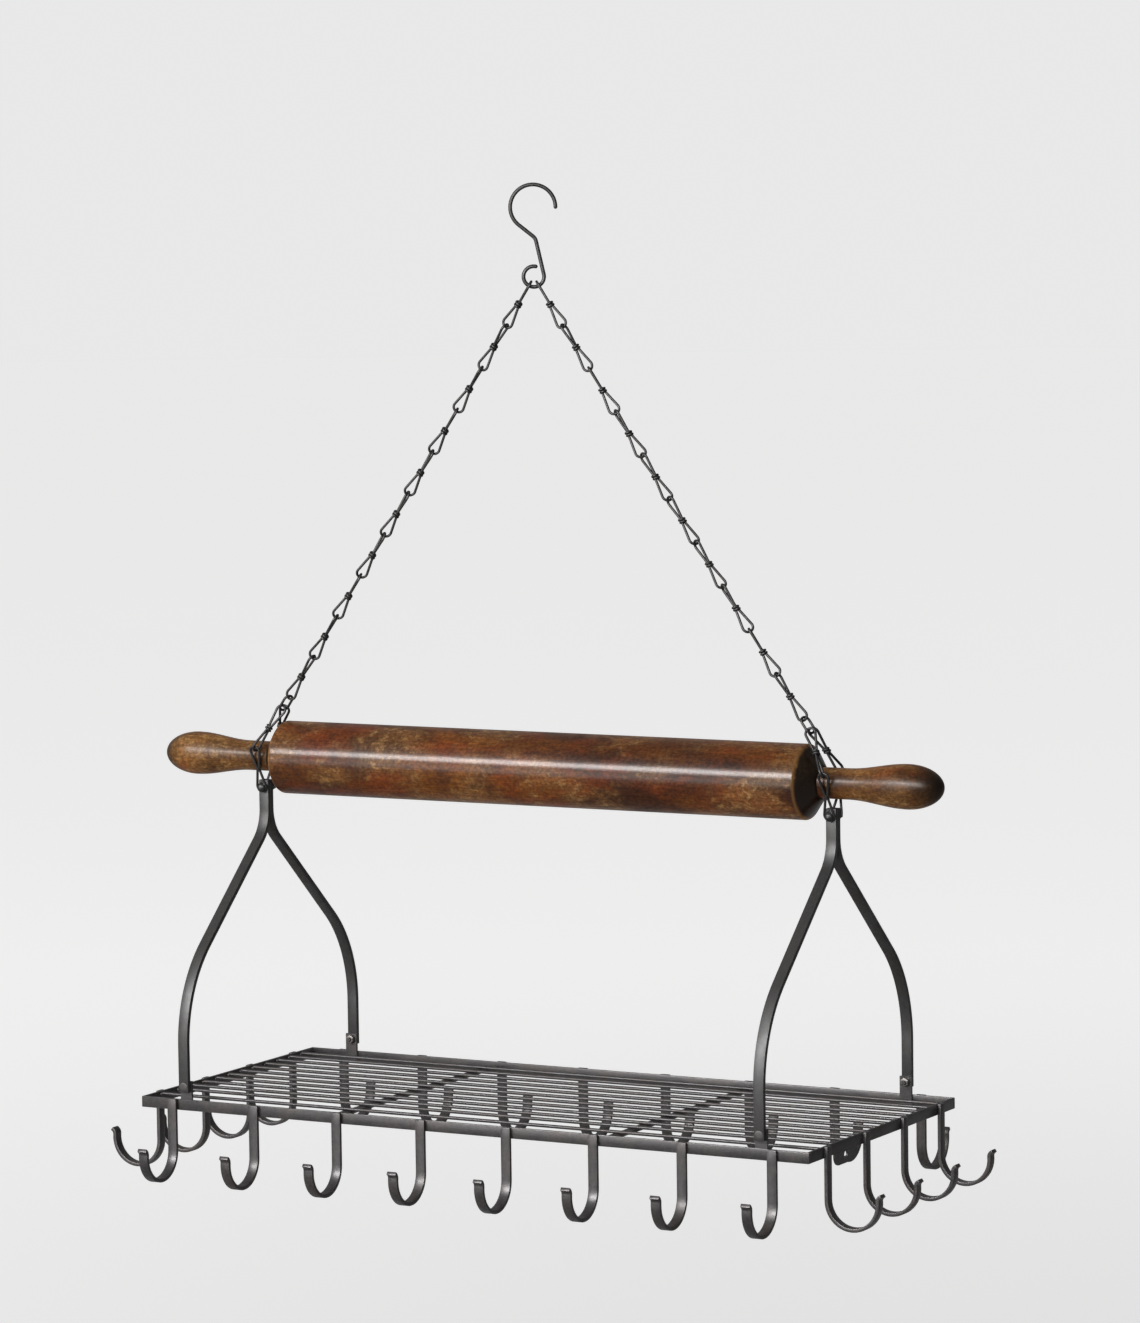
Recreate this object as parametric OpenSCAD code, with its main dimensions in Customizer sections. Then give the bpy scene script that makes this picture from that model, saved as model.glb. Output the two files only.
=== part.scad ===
// Hanging pot rack: a wire-grid shelf with forged pan hooks, bolted to two
// wishbone brackets that hang under a turned wooden rolling pin. Knotted
// link chains carry the pin and meet in one S-hook.
// Millimetres, +Z up. The origin is the seat inside the top bend of the
// S-hook, where it rests on whatever holds it up.

/* [Shelf] */
// Length of the shelf over the side rails
shelf_l = 812; // [760:1:980]
// Depth of the shelf over the long rails
shelf_d = 356; // [290:1:430]
// Height of the flat bar that the rails are made of
rail_h = 12; // [10:0.5:16]
// Thickness of the flat bar that the rails are made of
rail_t = 3; // [2.5:0.5:4]
// Number of wires in the grid
grid_wires_n = 12; // [8:1:14]
// Diameter of the grid wires
grid_wire_d = 3.8; // [3:0.1:4.4]
// Width of the first two gaps between the wires, behind the front rail
grid_front_gap = 33; // [26:0.5:36]
// How far the wires lie below the top of the rails
grid_inset = 0.8; // [0.4:0.1:2]
// Width of the two flat bars that run across under the grid
cross_bar_w = 12; // [8:1:18]
// Thickness of the bars under the grid
cross_bar_t = 3; // [2:0.5:4]
// Distance from the middle of the shelf to each bar under the grid
cross_bar_x = 165; // [120:1:230]

/* [Ear] */
// Distance from the front of the shelf to the middle of the drilled ear
ear_from_front = 86; // [80:1:95]
// Length of the ear along the rail
ear_l = 54; // [40:1:60]
// How far the ear hangs below the rail
ear_drop = 13; // [10:0.5:16]
// Radius of the two lower corners of the ear
ear_corner_r = 11; // [6:0.5:12]
// Thickness of the ear
ear_t = 1.5; // [1.2:0.1:3]
// Diameter of the hole in the ear
ear_hole_d = 7; // [4:0.5:8]

/* [Pan hooks] */
// Hooks on each long rail
hooks_long_n = 8; // [4:2:10]
// Hooks on each side rail
hooks_side_n = 4; // [2:1:5]
// Distance from the end of a long rail to its first hook
hook_end_long = 41; // [25:1:60]
// Distance from the end of a side rail to its first hook
hook_end_side = 40; // [25:1:60]
// Width of the flat bar that the hooks are bent from
hook_w = 11; // [8:0.5:14]
// Thickness of the hook bar
hook_t = 4; // [3:0.5:5]
// Distance from the top of the rail to the underside of a hook
hook_drop = 86.5; // [80:1:120]
// Inside radius of the main bend of a hook
hook_r = 27; // [20:0.5:30]
// How far the main bend goes on past level
hook_over = 5; // [0:1:30]
// Inside radius of the flared lip
lip_r = 4; // [3:0.5:6]
// How far the lip turns outwards
lip_turn = 62; // [50:1:90]
// Length of the straight end of the lip
lip_l = 1.5; // [1:0.5:6]
// How far a hook stands above the top of the rail
hook_proud = 0; // [0:0.1:2]

/* [Brackets] */
// Width of the bracket bars
leg_w = 12; // [10:0.5:16]
// Thickness of the bracket bars
leg_t = 5.5; // [4:0.5:7]
// Height of the bracket above the top of the rails
bracket_h = 331.5; // [290:1:400]
// Length of the upright stretch where the two bars of a bracket lie together
joined_l = 32; // [22:1:50]
// Slope of the middle stretch of a bar, from upright
leg_slope = 48; // [36:1:52]
// Radius of the lower bend of a bar
lower_bend_r = 140; // [60:1:150]
// Radius of the upper bend of a bar
upper_bend_r = 45; // [30:1:60]
// Gap between the foot of a bar and the top of the rail
foot_gap = 8; // [6:0.5:12]
// Width of the tabs that stand up from the rails
tab_w = 14; // [12:0.5:18]
// Thickness of the tabs
tab_t = 3; // [2.5:0.5:4]
// Height of the tabs above the top of the rails
tab_h = 20; // [18:0.5:26]

/* [Rolling pin] */
// Length of the barrel between its two sloping ends
barrel_l = 646; // [560:1:700]
// Diameter of the barrel
barrel_d = 80.5; // [60:0.5:92]
// Length of each sloping end of the barrel
cone_l = 16; // [12:0.5:24]
// Radius of the rounded edge of the barrel
edge_r = 3; // [1:0.5:5]
// Diameter of the neck where the sling goes round
neck_d = 33; // [28:0.5:36]
// Length of the neck before the handle swells
neck_l = 30; // [24:0.5:36]
// Distance from the end of the barrel to the sling
sling_gap = 4; // [2:0.5:8]
// Largest diameter of a handle
handle_d = 47.5; // [40:0.5:56]
// Length of a handle from the end of the barrel
handle_l = 138.5; // [110:0.5:160]
// Length of the rounded end of a handle
handle_end_l = 40; // [25:0.5:48]
// Diameter of the tenon that joins a handle to the barrel
tenon_d = 20; // [14:0.5:24]
// Length of the tenon
tenon_l = 45; // [30:1:60]

/* [Chain] */
// Links in each chain
links_n = 10; // [10:1:10]
// Diameter of the chain wire
link_wire = 2.8; // [2.4:0.1:3.2]
// Length of a link over its two loops
link_l = 61.4; // [54:0.1:68]
// Width of a loop
link_w = 14; // [12.6:0.1:16]
// Free space between one link and the next
link_play = 0.4; // [0.3:0.05:0.5]
// Turns of wire in the knot
knot_turns = 2; // [1:1:3]
// Length of the small oval ring at the end of a chain
ring_l = 22; // [20:0.5:30]
// Width of the small oval ring
ring_w = 14; // [12.6:0.1:16]
// How far the oval ring is turned out of the chain's plane
ring_roll = 70; // [60:1:90]
// Most that the left chain is twisted, halfway down
left_twist = 40; // [0:1:45]
// Most that the right chain is twisted, halfway down
right_twist = 60; // [0:1:65]

/* [Sling] */
// How far the slings stand off the side of the neck
sling_out = 6.8; // [6:0.1:9]
// Height of the sling's bend above the axis of the pin
sling_rise = 8.8; // [6:0.1:10]
// Free space between the links where the sling bends
bend_play = 1.1; // [0.6:0.1:1.4]

/* [S-hook] */
// Diameter of the S-hook's wire
hook_wire = 4.2; // [3.6:0.1:5]
// Radius of the large bend, to the middle of the wire
large_r = 24.2; // [20:0.1:30]
// Radius of the small ring, to the middle of the wire
small_r = 11; // [10.5:0.1:14]
// Distance between the centres of the two bends
bend_spacing = 74; // [66:1:90]
// Turn of the S-hook about the vertical
hook_turn = 29; // [0:1:45]
// Free space between the small ring and the first links
hang_play = 1.2; // [0.8:0.1:1.4]
// Angle on the small ring where each chain hangs, from its lowest point
chain_hang = 28; // [24:1:34]

/* [Fasteners] */
// Diameter of the bolts
bolt_d = 5; // [4:0.5:6]
// Diameter of a bolt's round head
head_d = 10; // [9:0.5:12]
// Height of a bolt's round head
head_h = 3; // [2:0.5:4]
// Width of a nut across its flats
nut_af = 9; // [8:0.5:10]
// Height of a nut
nut_h = 4; // [3:0.5:5]
// Distance from the top of a bracket to its sling bolt
bolt_inset = 8; // [7:0.5:12]

/* [Hidden] */
// Clearance of a bolt in its hole and of a tenon in its bore
fit = 0.1;
// Gap between a piece and the wire or bar that it rests on
seat = 0.3;
// How far a straight stretch of wire or bar is let into a bend, and how much
// its thickness differs
let_in = 0.1;
step = 0.04;
// How far in from the end of the barrel a chain ends
chain_end_in = 5;
// Room for the slings inside a ring, between a sling's two branches, between
// the lower links and the neck, and between the lower links and a bolt's ends
ring_room = 2.7;
branch_play = 0.8;
neck_play = 0.55;
bolt_room = 2.2;
// Length of a bolt beyond its nut
bolt_past = 2;
// Sizes of a knot over the diameter of its wire: rise of a turn, radius of a
// turn, radius of the core, and where the loops meet it
knot_rise = 1.06;
knot_turn_r = 1.04;
knot_core_r = 0.8;
knot_side = 0.55;
knot_below = 0.7;
// Tilt of the turns
knot_tilt = [9, 7, 0];
// Space between the ear's hole and the rail
ear_hole_gap = 0.5;
// How full the rounded end of a handle is: 1 is an ellipse, less is fuller
handle_fullness = 0.86;
$fn = 48;

FRONT = -1;
BACK = 1;
LEFT = -1;
RIGHT = 1;

// --- places that follow from the sizes ---
end_r = (link_w - link_wire) / 2;
half_link = (link_l - link_wire) / 2;
overlap = link_wire + link_play;
pitch = 2 * half_link - overlap;
large_z = -(large_r - hook_wire / 2);
small_z = large_z - bend_spacing;
hang_r = small_r - hook_wire / 2 - link_wire / 2 - hang_play;
bracket_x = barrel_l / 2 + cone_l + sling_gap + link_w / 2;
chain_end_x = barrel_l / 2 - chain_end_in;
neck_r = neck_d / 2;

function unit(v) = v / norm(v);
// Where the first link of a chain rests in the small ring
function hang_point(side) = [side * hang_r * sin(chain_hang) * cos(hook_turn),
                             side * hang_r * sin(chain_hang) * sin(hook_turn),
                             small_z - hang_r * cos(chain_hang)];
function chain_start(side) = [hang_point(side)[0], 0, hang_point(side)[2]];
chain_len = links_n * 2 * half_link - (links_n - 1) * overlap;
chain_run = chain_end_x - hang_point(RIGHT)[0];
function chain_dir(side) = unit([side * chain_run, 0, -sqrt(chain_len * chain_len - chain_run * chain_run)]);
function chain_end(side) = chain_start(side) + chain_dir(side) * chain_len;
function knot_at(side, k) = chain_start(side) + chain_dir(side) * (half_link + (k - 1) * pitch);
// How far the first link's upper loop turns to face the wire of the small ring
function first_twist(side) = let (
        dir = chain_dir(side),
        wire = [cos(chain_hang) * cos(hook_turn), cos(chain_hang) * sin(hook_turn), side * sin(chain_hang)],
        wide = cross(dir, wire))
    atan2(wide * unit([1, 0, 0] - dir[0] * dir), -wide[1]);
function twist_at(side, k) = k < 2 ? 0 : (side == LEFT ? left_twist : right_twist) * sin(180 * (k - 2) / (links_n - 2));

// The oval ring and the two links of a sling branch
ring_seat = link_wire + ring_room;
branch_y = (link_wire + branch_play) / 2;
function ring_top(side) = chain_end(side) - chain_dir(side) * overlap;
function ring_foot(side) = ring_top(side) + chain_dir(side) * (ring_l - link_wire);
function upper_top(side, face) = ring_foot(side) - chain_dir(side) * ring_seat + [0, face * branch_y, 0];
bend_y = neck_r + sling_out;
function upper_foot(side, face) = let (top = upper_top(side, face), dx = side * bracket_x - top[0], dy = face * bend_y - top[1])
    [side * bracket_x, face * bend_y, top[2] - sqrt(4 * half_link * half_link - dx * dx - dy * dy)];
function lower_top(side, face) = upper_foot(side, face) + [0, 0, link_wire + bend_play];
pin_z = upper_foot(RIGHT, FRONT)[2] - sling_rise;
lower_top_z = lower_top(RIGHT, FRONT)[2] - pin_z;
// The lower link runs down the side of the neck to the sling bolt
hug_r = neck_r + link_wire / 2 + neck_play;
lower_slope = atan2(lower_top_z, bend_y) + asin(hug_r / norm([bend_y, lower_top_z]));
bolt_loop_y = leg_t + link_wire / 2 + link_play;
lower_link_l = (bend_y - bolt_loop_y) / cos(lower_slope);
function lower_foot(side, face) = lower_top(side, face)
    + lower_link_l * [0, -face * cos(lower_slope), -sin(lower_slope)];
sling_bolt_z = lower_foot(RIGHT, FRONT)[2] + link_wire / 2 + bolt_d / 2 + seat;
bracket_top = sling_bolt_z + bolt_inset;
rail_top = bracket_top - bracket_h;

// Shelf levels and lines
rail_y = shelf_d / 2;
rail_x = shelf_l / 2;
grid_z = rail_top - grid_inset - grid_wire_d / 2;
cross_bar_top = grid_z - grid_wire_d / 2 - fit;
leg_foot_y = rail_y - rail_t + (leg_t + step) / 2;
leg_outside = leg_foot_y + (leg_t + step) / 2;
tab_inside = rail_y - rail_t - tab_t;
foot_bolt_z = rail_top + (foot_gap + tab_h) / 2;
hook_out_r = hook_r + hook_t;
hook_centre_z = rail_top - hook_drop + hook_out_r;
hook_step_long = (shelf_l - 2 * hook_end_long) / (hooks_long_n - 1);
hook_step_side = (shelf_d - 2 * hook_end_side) / (hooks_side_n - 1);

steel = "#4a4643";
wire_black = "#2b2826";
wood = "#8a5a35";

LINKS_LEFT = [for (k = [1:links_n]) str("left_chain_link_", k < 10 ? "0" : "", k)];
LINKS_RIGHT = [for (k = [1:links_n]) str("right_chain_link_", k < 10 ? "0" : "", k)];

// --- helpers ---
// Stands a piece that is drawn along Z at a point, with its -Z along dir
// and its X as near to ref as it can be
module place(at, dir, ref = [1, 0, 0]) {
    tilt = acos(-dir[2]);
    turn = atan2(-dir[1], -dir[0]);
    own_x = [cos(tilt) * cos(turn), cos(tilt) * sin(turn), -sin(tilt)];
    own_y = [-sin(turn), cos(turn), 0];
    translate(at) rotate([0, tilt, turn]) rotate([0, 0, atan2(ref * own_y, ref * own_x)]) children();
}

// An arc of round wire in the XY plane
module wire_arc(centre, r, from, sweep, d)
    translate([centre[0], centre[1], 0]) rotate([0, 0, from])
        rotate_extrude(angle = sweep) translate([r, 0]) circle(d = d);

// A straight stretch of round wire in the XY plane, a hair thicker than the
// arcs and let into them at both ends
module wire_run(start, heading, len, d)
    translate([start[0], start[1], 0]) rotate([0, 0, heading]) rotate([0, 90, 0])
        translate([0, 0, -let_in]) cylinder(h = len + 2 * let_in, d = d + step);

// The rounded end of a wire in the XY plane, a hair thinner than the wire
module wire_tip(at, heading, d)
    translate([at[0], at[1], 0]) rotate([0, 0, heading]) rotate([0, 90, 0]) {
        translate([0, 0, -let_in]) cylinder(h = let_in, d = d - step);
        rotate_extrude() intersection() {
            circle(d = d - step);
            square(d);
        }
    }

// An arc of flat bar in the XY plane, w wide along Z
module bar_arc(centre, r_in, t, w, from, sweep)
    translate([centre[0], centre[1], -w / 2]) rotate([0, 0, from])
        rotate_extrude(angle = sweep) translate([r_in, 0]) square([t, w]);

// --- S-hook ---
function cross2(a, b) = a[0] * b[1] - a[1] * b[0];
function heading(a) = [cos(a), sin(a)];
// The large bend starts level at its open end and goes on to `leave`. The
// small ring starts at `open_end` and goes on past a turn to `join`. Both are
// angles round their centres. A bend of turn_r leads the wire into the ring.
module s_hook() {
    leave = 231;
    join = 12.4;
    open_end = 78;
    turn_r = 10;
    h1 = leave + 90 - 360;
    h2 = join - 90;
    from = [0, large_z] + large_r * heading(leave);
    to = [0, small_z] + small_r * heading(join);
    turn_step = turn_r * [sin(h1) - sin(h2), cos(h2) - cos(h1)];
    rest = to - from - turn_step;
    run1 = cross2(rest, heading(h2)) / cross2(heading(h1), heading(h2));
    run2 = cross2(heading(h1), rest) / cross2(heading(h1), heading(h2));
    bend_from = from + run1 * heading(h1);
    bend_centre = bend_from + turn_r * heading(h1 - 90);
    color(wire_black) rotate([0, 0, hook_turn]) rotate([90, 0, 0]) {
        wire_tip([large_r, large_z], -90, hook_wire);
        wire_arc([0, large_z], large_r, 0, leave, hook_wire);
        wire_run(from, h1, run1, hook_wire);
        wire_arc(bend_centre, turn_r, h2 + 90, h1 - h2, hook_wire);
        wire_run(bend_from + turn_step, h2, run2, hook_wire);
        wire_arc([0, small_z], small_r, open_end, 360 - open_end + join, hook_wire);
        wire_tip([0, small_z] + small_r * heading(open_end), open_end - 90, hook_wire);
    }
}

// --- knotted links ---
// One teardrop loop that hangs from the knot to -Z, wide along X
module loop(half) {
    foot = [0, -(half - end_r)];
    span = link_wire * [knot_side, -knot_below] - foot;
    lean = atan2(span[1], span[0]) - acos(end_r / norm(span));
    leg = sqrt(span * span - end_r * end_r);
    rotate([90, 0, 0]) {
        wire_arc(foot, end_r, 180 - lean, 180 + 2 * lean, link_wire);
        for (side = [0, 1]) mirror([side, 0, 0])
            wire_run(foot + end_r * heading(lean), lean + 90, leg, link_wire);
    }
}

// The turns of wire that close the knot, each tilted a little as in a coil,
// round a core of the ends twisted inside. With no turns it is a crossing.
module knot(turns) {
    rise = link_wire * knot_rise;
    cylinder(h = max(turns, 2) * rise, r = link_wire * knot_core_r, center = true);
    if (turns > 0) for (k = [1:turns])
        translate([0, 0, (k - (turns + 1) / 2) * rise]) rotate(knot_tilt)
            rotate_extrude() translate([link_wire * knot_turn_r, 0]) circle(d = link_wire);
}

// A link: two loops on one knot, the upper one turned by cross
module knotted_link(half, cross, turns) {
    color(wire_black) {
        knot(turns);
        loop(half);
        rotate([0, 0, cross]) mirror([0, 0, 1]) loop(half);
    }
}

module chain_link(side, k) {
    top = k == 1 ? hang_point(side) : knot_at(side, k) - half_link * chain_dir(side);
    foot = knot_at(side, k) + half_link * chain_dir(side);
    place((top + foot) / 2, unit(foot - top)) rotate([0, 0, twist_at(side, k)])
        knotted_link(half_link, k == 1 ? 90 + first_twist(side) : 90, knot_turns);
}

module chain_ring(side) {
    run = ring_l - ring_w;
    r = (ring_w - link_wire) / 2;
    dir = chain_dir(side);
    across = unit([1, 0, 0] - dir[0] * dir);
    wide = cos(ring_roll) * across + sin(ring_roll) * [0, 1, 0];
    color(wire_black) place((ring_top(side) + ring_foot(side)) / 2, dir, wide) rotate([90, 0, 0]) {
        for (end = [0, 1]) mirror([0, end, 0]) wire_arc([0, run / 2], r, 0, 180, link_wire);
        for (end = [0, 1]) mirror([end, 0, 0]) wire_run([r, -run / 2], 90, run, link_wire);
    }
}

module sling_upper(side, face) {
    top = upper_top(side, face);
    foot = upper_foot(side, face);
    place((top + foot) / 2, unit(foot - top)) rotate([0, 0, 90]) knotted_link(half_link, 90, knot_turns);
}

module sling_lower(side, face) {
    top = lower_top(side, face);
    foot = lower_foot(side, face);
    place((top + foot) / 2, unit(foot - top)) knotted_link(lower_link_l / 2, 0, 0);
}

// --- rolling pin ---
cone_end = barrel_l / 2 + cone_l;
module pin_barrel() {
    r = barrel_d / 2;
    color(wood) translate([0, 0, pin_z]) rotate([0, 90, 0]) difference() {
        union() {
            cylinder(h = barrel_l - 2 * edge_r, r = r, center = true);
            for (end = [0, 1]) mirror([0, 0, end]) translate([0, 0, barrel_l / 2 - edge_r]) barrel_end(r);
        }
        for (end = [0, 1]) mirror([0, 0, end])
            translate([0, 0, cone_end - tenon_l - fit]) cylinder(h = tenon_l + 1, d = tenon_d + 2 * fit);
    }
}

// The end of the barrel: a rounded edge, then a slope down to the neck
module barrel_end(r) {
    slope = atan2(r - edge_r - neck_r, cone_l);
    steps = 6;
    rotate_extrude() polygon(concat(
        [[0, 0]],
        [for (i = [0:steps]) let (a = (90 - slope) * i / steps) [r - edge_r + edge_r * cos(a), edge_r * sin(a)]],
        [[neck_r, edge_r + cone_l], [0, edge_r + cone_l]]));
}

// The turned outline of a handle: neck, swell and rounded end, from the
// end of the barrel outwards
function swell(t) = neck_r + (handle_d / 2 - neck_r) * (1 - cos(180 * t)) / 2;
module handle(side) {
    swell_l = handle_l - neck_l - handle_end_l;
    steps = 14;
    color(wood) translate([side * cone_end, 0, pin_z]) rotate([0, side * 90, 0]) {
        rotate_extrude() polygon(concat(
            [[0, 0], [neck_r, 0]],
            [for (i = [0:steps]) [swell(i / steps), neck_l + swell_l * i / steps]],
            [for (i = [1:steps]) let (a = 90 * i / steps)
                [handle_d / 2 * pow(cos(a), handle_fullness), neck_l + swell_l + handle_end_l * sin(a)]]));
        translate([0, 0, -tenon_l]) cylinder(h = tenon_l + 1, d = tenon_d);
    }
}

// --- brackets ---
// One bar of a bracket, from its foot to the top, in the YZ plane
module leg(side, face) {
    top_y = (leg_t + fit) / 2;
    bar = leg_t + step;
    wide = leg_w + step;
    bends_y = (lower_bend_r + upper_bend_r) * (1 - cos(leg_slope));
    slope_y = leg_foot_y - top_y - bends_y;
    slope_l = slope_y / sin(leg_slope);
    upper_z = bracket_top - joined_l;
    lower_z = upper_z - (lower_bend_r + upper_bend_r) * sin(leg_slope) - slope_l * cos(leg_slope);
    foot_z = rail_top + foot_gap;
    slope_start = [leg_foot_y - lower_bend_r * (1 - cos(leg_slope)), lower_z + lower_bend_r * sin(leg_slope)];
    color(steel) difference() {
        translate([side * bracket_x, 0, 0]) mirror([0, face == FRONT ? 1 : 0, 0]) rotate([90, 0, 90]) {
            translate([leg_foot_y - bar / 2, foot_z, -wide / 2]) cube([bar, lower_z - foot_z + let_in, wide]);
            bar_arc([leg_foot_y - lower_bend_r, lower_z], lower_bend_r - leg_t / 2, leg_t, leg_w, 0, leg_slope);
            translate([slope_start[0], slope_start[1], 0]) rotate([0, 0, leg_slope])
                translate([-bar / 2, -let_in, -wide / 2]) cube([bar, slope_l + 2 * let_in, wide]);
            bar_arc([top_y + upper_bend_r, upper_z], upper_bend_r - leg_t / 2, leg_t, leg_w, 180, leg_slope);
            translate([top_y - bar / 2, upper_z - let_in, -wide / 2]) cube([bar, joined_l + let_in, wide]);
        }
        bolt_hole([side * bracket_x, 0, sling_bolt_z], 4 * leg_t);
        sunk_bolt([side * bracket_x, face * leg_outside, foot_bolt_z], -face, 2 * leg_t, fit, 1);
    }
}

module bolt_hole(at, len)
    translate(at) rotate([90, 0, 0]) cylinder(h = len, d = bolt_d + 2 * fit, center = true);

// A bolt with a sunk head, or its hole: the flat end is at `at` and the shank
// runs to FRONT or BACK. A hole is thicker by grow and sticks out by out.
module sunk_bolt(at, toward, len, grow = 0, out = 0)
    translate(at) rotate([toward == BACK ? -90 : 90, 0, 0]) rotate_extrude() polygon([
        [0, -out],
        [head_d / 2 + grow + out, -out],
        [bolt_d / 2 + grow, (head_d - bolt_d) / 2],
        [bolt_d / 2 + grow, len],
        [0, len]]);

// A round-headed bolt: the underside of its head is at `at` and its shank
// runs to FRONT or BACK
module bolt(at, toward, shank) {
    dome_r = (head_d * head_d / 4 + head_h * head_h) / (2 * head_h);
    translate(at) rotate([toward == BACK ? -90 : 90, 0, 0]) {
        cylinder(h = shank, d = bolt_d);
        intersection() {
            translate([0, 0, dome_r - head_h]) sphere(r = dome_r);
            translate([0, 0, -head_h]) cylinder(h = head_h, d = head_d);
        }
    }
}

module nut(at, toward)
    translate(at) rotate([toward == BACK ? -90 : 90, 0, 0]) difference() {
        cylinder(h = nut_h, d = nut_af / cos(30), $fn = 6);
        translate([0, 0, -1]) cylinder(h = nut_h + 2, d = bolt_d + fit);
    }

// Outside face of the loops that ride on a sling bolt
sling_stack = bolt_loop_y + link_wire / 2 + bolt_room;
module sling_bolts()
    color(steel) for (side = [LEFT, RIGHT])
        bolt([side * bracket_x, -sling_stack, sling_bolt_z], BACK, 2 * sling_stack + nut_h + bolt_past);

module sling_nuts()
    color(steel) for (side = [LEFT, RIGHT]) nut([side * bracket_x, sling_stack, sling_bolt_z], BACK);

// Tabs welded inside the long rails, one at the foot of each bracket bar
module leg_tabs()
    color(steel) for (side = [LEFT, RIGHT], face = [FRONT, BACK]) difference() {
        translate([side * bracket_x - tab_w / 2, face * (rail_y - rail_t - tab_t / 2) - tab_t / 2, rail_top - rail_h])
            cube([tab_w, tab_t, rail_h + tab_h]);
        bolt_hole([side * bracket_x, face * (rail_y - rail_t), foot_bolt_z], 4 * tab_t);
    }

module foot_bolts()
    color(steel) for (side = [LEFT, RIGHT], face = [FRONT, BACK])
        sunk_bolt([side * bracket_x, face * leg_outside, foot_bolt_z], -face,
            leg_outside - tab_inside + nut_h + bolt_past);

module foot_nuts()
    color(steel) for (side = [LEFT, RIGHT], face = [FRONT, BACK])
        nut([side * bracket_x, face * tab_inside, foot_bolt_z], -face);

// --- shelf ---
module long_rail(face)
    color(steel) translate([-rail_x, face * (rail_y - rail_t / 2) - rail_t / 2, rail_top - rail_h])
        cube([shelf_l, rail_t, rail_h]);

module side_rail(side)
    color(steel) translate([side * (rail_x - rail_t / 2) - rail_t / 2, rail_t - rail_y, rail_top - rail_h])
        cube([rail_t, shelf_d - 2 * rail_t, rail_h]);

// A drilled ear under the right rail, with rounded lower corners
ear_y = ear_from_front - rail_y;
module rail_ear() {
    flat = ear_l - 2 * ear_corner_r;
    color(steel) translate([rail_x - ear_t, ear_y, rail_top - rail_h]) rotate([90, 0, 90]) difference() {
        intersection() {
            translate([-ear_l / 2, -ear_drop, 0]) cube([ear_l, ear_drop, ear_t]);
            union() {
                translate([-ear_l / 2, ear_corner_r - ear_drop, -1]) cube([ear_l, ear_drop, ear_t + 2]);
                translate([-flat / 2, -ear_drop - 1, -1]) cube([flat, ear_drop, ear_t + 2]);
                for (end = [-1, 1]) translate([end * flat / 2, ear_corner_r - ear_drop, -1])
                    cylinder(h = ear_t + 2, r = ear_corner_r);
            }
        }
        translate([0, -ear_hole_gap - ear_hole_d / 2, -1]) cylinder(h = ear_t + 2, d = ear_hole_d);
    }
}

// The first two wires lie wider apart than the rest, which share the room
// that is left up to the back rail
grid_gap = (shelf_d - 2 * rail_t - 2 * grid_front_gap) / (grid_wires_n - 1);
function wire_y(i) = rail_t - rail_y + (i < 3 ? i * grid_front_gap : 2 * grid_front_gap + (i - 2) * grid_gap);
module grid_wires()
    color(steel) for (i = [1:grid_wires_n])
        translate([0, wire_y(i), grid_z]) rotate([0, 90, 0])
            cylinder(h = shelf_l - 2 * rail_t, d = grid_wire_d, center = true);

module cross_bars()
    color(steel) for (side = [LEFT, RIGHT])
        translate([side * cross_bar_x - cross_bar_w / 2, rail_t - rail_y, cross_bar_top - cross_bar_t])
            cube([cross_bar_w, shelf_d - 2 * rail_t, cross_bar_t]);

// --- pan hooks ---
// Points on an arc, in equal steps
function arc_points(centre, r, from, to, steps) =
    [for (i = [0:steps]) centre + r * heading(from + (to - from) * i / steps)];

// A hook in the XZ plane: its shank lies on X = 0, its bend goes out to +X
module pan_hook() {
    bend_steps = 30;
    lip_steps = 10;
    top = rail_top + hook_proud;
    main_c = [hook_out_r, hook_centre_z];
    bend_end = 360 + hook_over;
    lip_c = main_c + (hook_out_r + lip_r) * heading(hook_over);
    lip_start = 180 + hook_over;
    lip_end = lip_start - lip_turn;
    tip = lip_l * heading(lip_end - 90);
    rotate([90, 0, 0]) translate([0, 0, -hook_w / 2]) linear_extrude(hook_w) polygon(concat(
        [[0, top]],
        arc_points(main_c, hook_out_r, 180, bend_end, bend_steps),
        arc_points(lip_c, lip_r, lip_start - 1, lip_end, lip_steps),
        [lip_c + lip_r * heading(lip_end) + tip, lip_c + (lip_r + hook_t) * heading(lip_end) + tip],
        arc_points(lip_c, lip_r + hook_t, lip_end, lip_start - 1, lip_steps),
        arc_points(main_c, hook_r, bend_end, 180, bend_steps),
        [[hook_t, top]]));
}

// Hooks from number a to number b along a long rail
module long_hooks(face, a, b)
    color(steel) for (i = [a:b])
        translate([i * hook_step_long + hook_end_long - rail_x, face * rail_y, 0])
            rotate([0, 0, face * 90]) pan_hook();

module side_hooks(side)
    color(steel) for (i = [0:hooks_side_n - 1])
        translate([side * rail_x, i * hook_step_side + hook_end_side - rail_y, 0])
            rotate([0, 0, side == LEFT ? 180 : 0]) pan_hook();

half_hooks = hooks_long_n / 2;

s_hook();
for (k = [1:links_n]) {
    chain_link(LEFT, k);
    chain_link(RIGHT, k);
}
chain_ring(LEFT);  // left_chain_ring
chain_ring(RIGHT);  // right_chain_ring
sling_upper(LEFT, FRONT);  // left_front_sling_upper_link
sling_lower(LEFT, FRONT);  // left_front_sling_lower_link
sling_upper(LEFT, BACK);  // left_back_sling_upper_link
sling_lower(LEFT, BACK);  // left_back_sling_lower_link
sling_upper(RIGHT, FRONT);  // right_front_sling_upper_link
sling_lower(RIGHT, FRONT);  // right_front_sling_lower_link
sling_upper(RIGHT, BACK);  // right_back_sling_upper_link
sling_lower(RIGHT, BACK);  // right_back_sling_lower_link
pin_barrel();
handle(LEFT);  // left_handle
handle(RIGHT);  // right_handle
leg(LEFT, FRONT);  // left_front_leg
leg(LEFT, BACK);  // left_back_leg
leg(RIGHT, FRONT);  // right_front_leg
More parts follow.
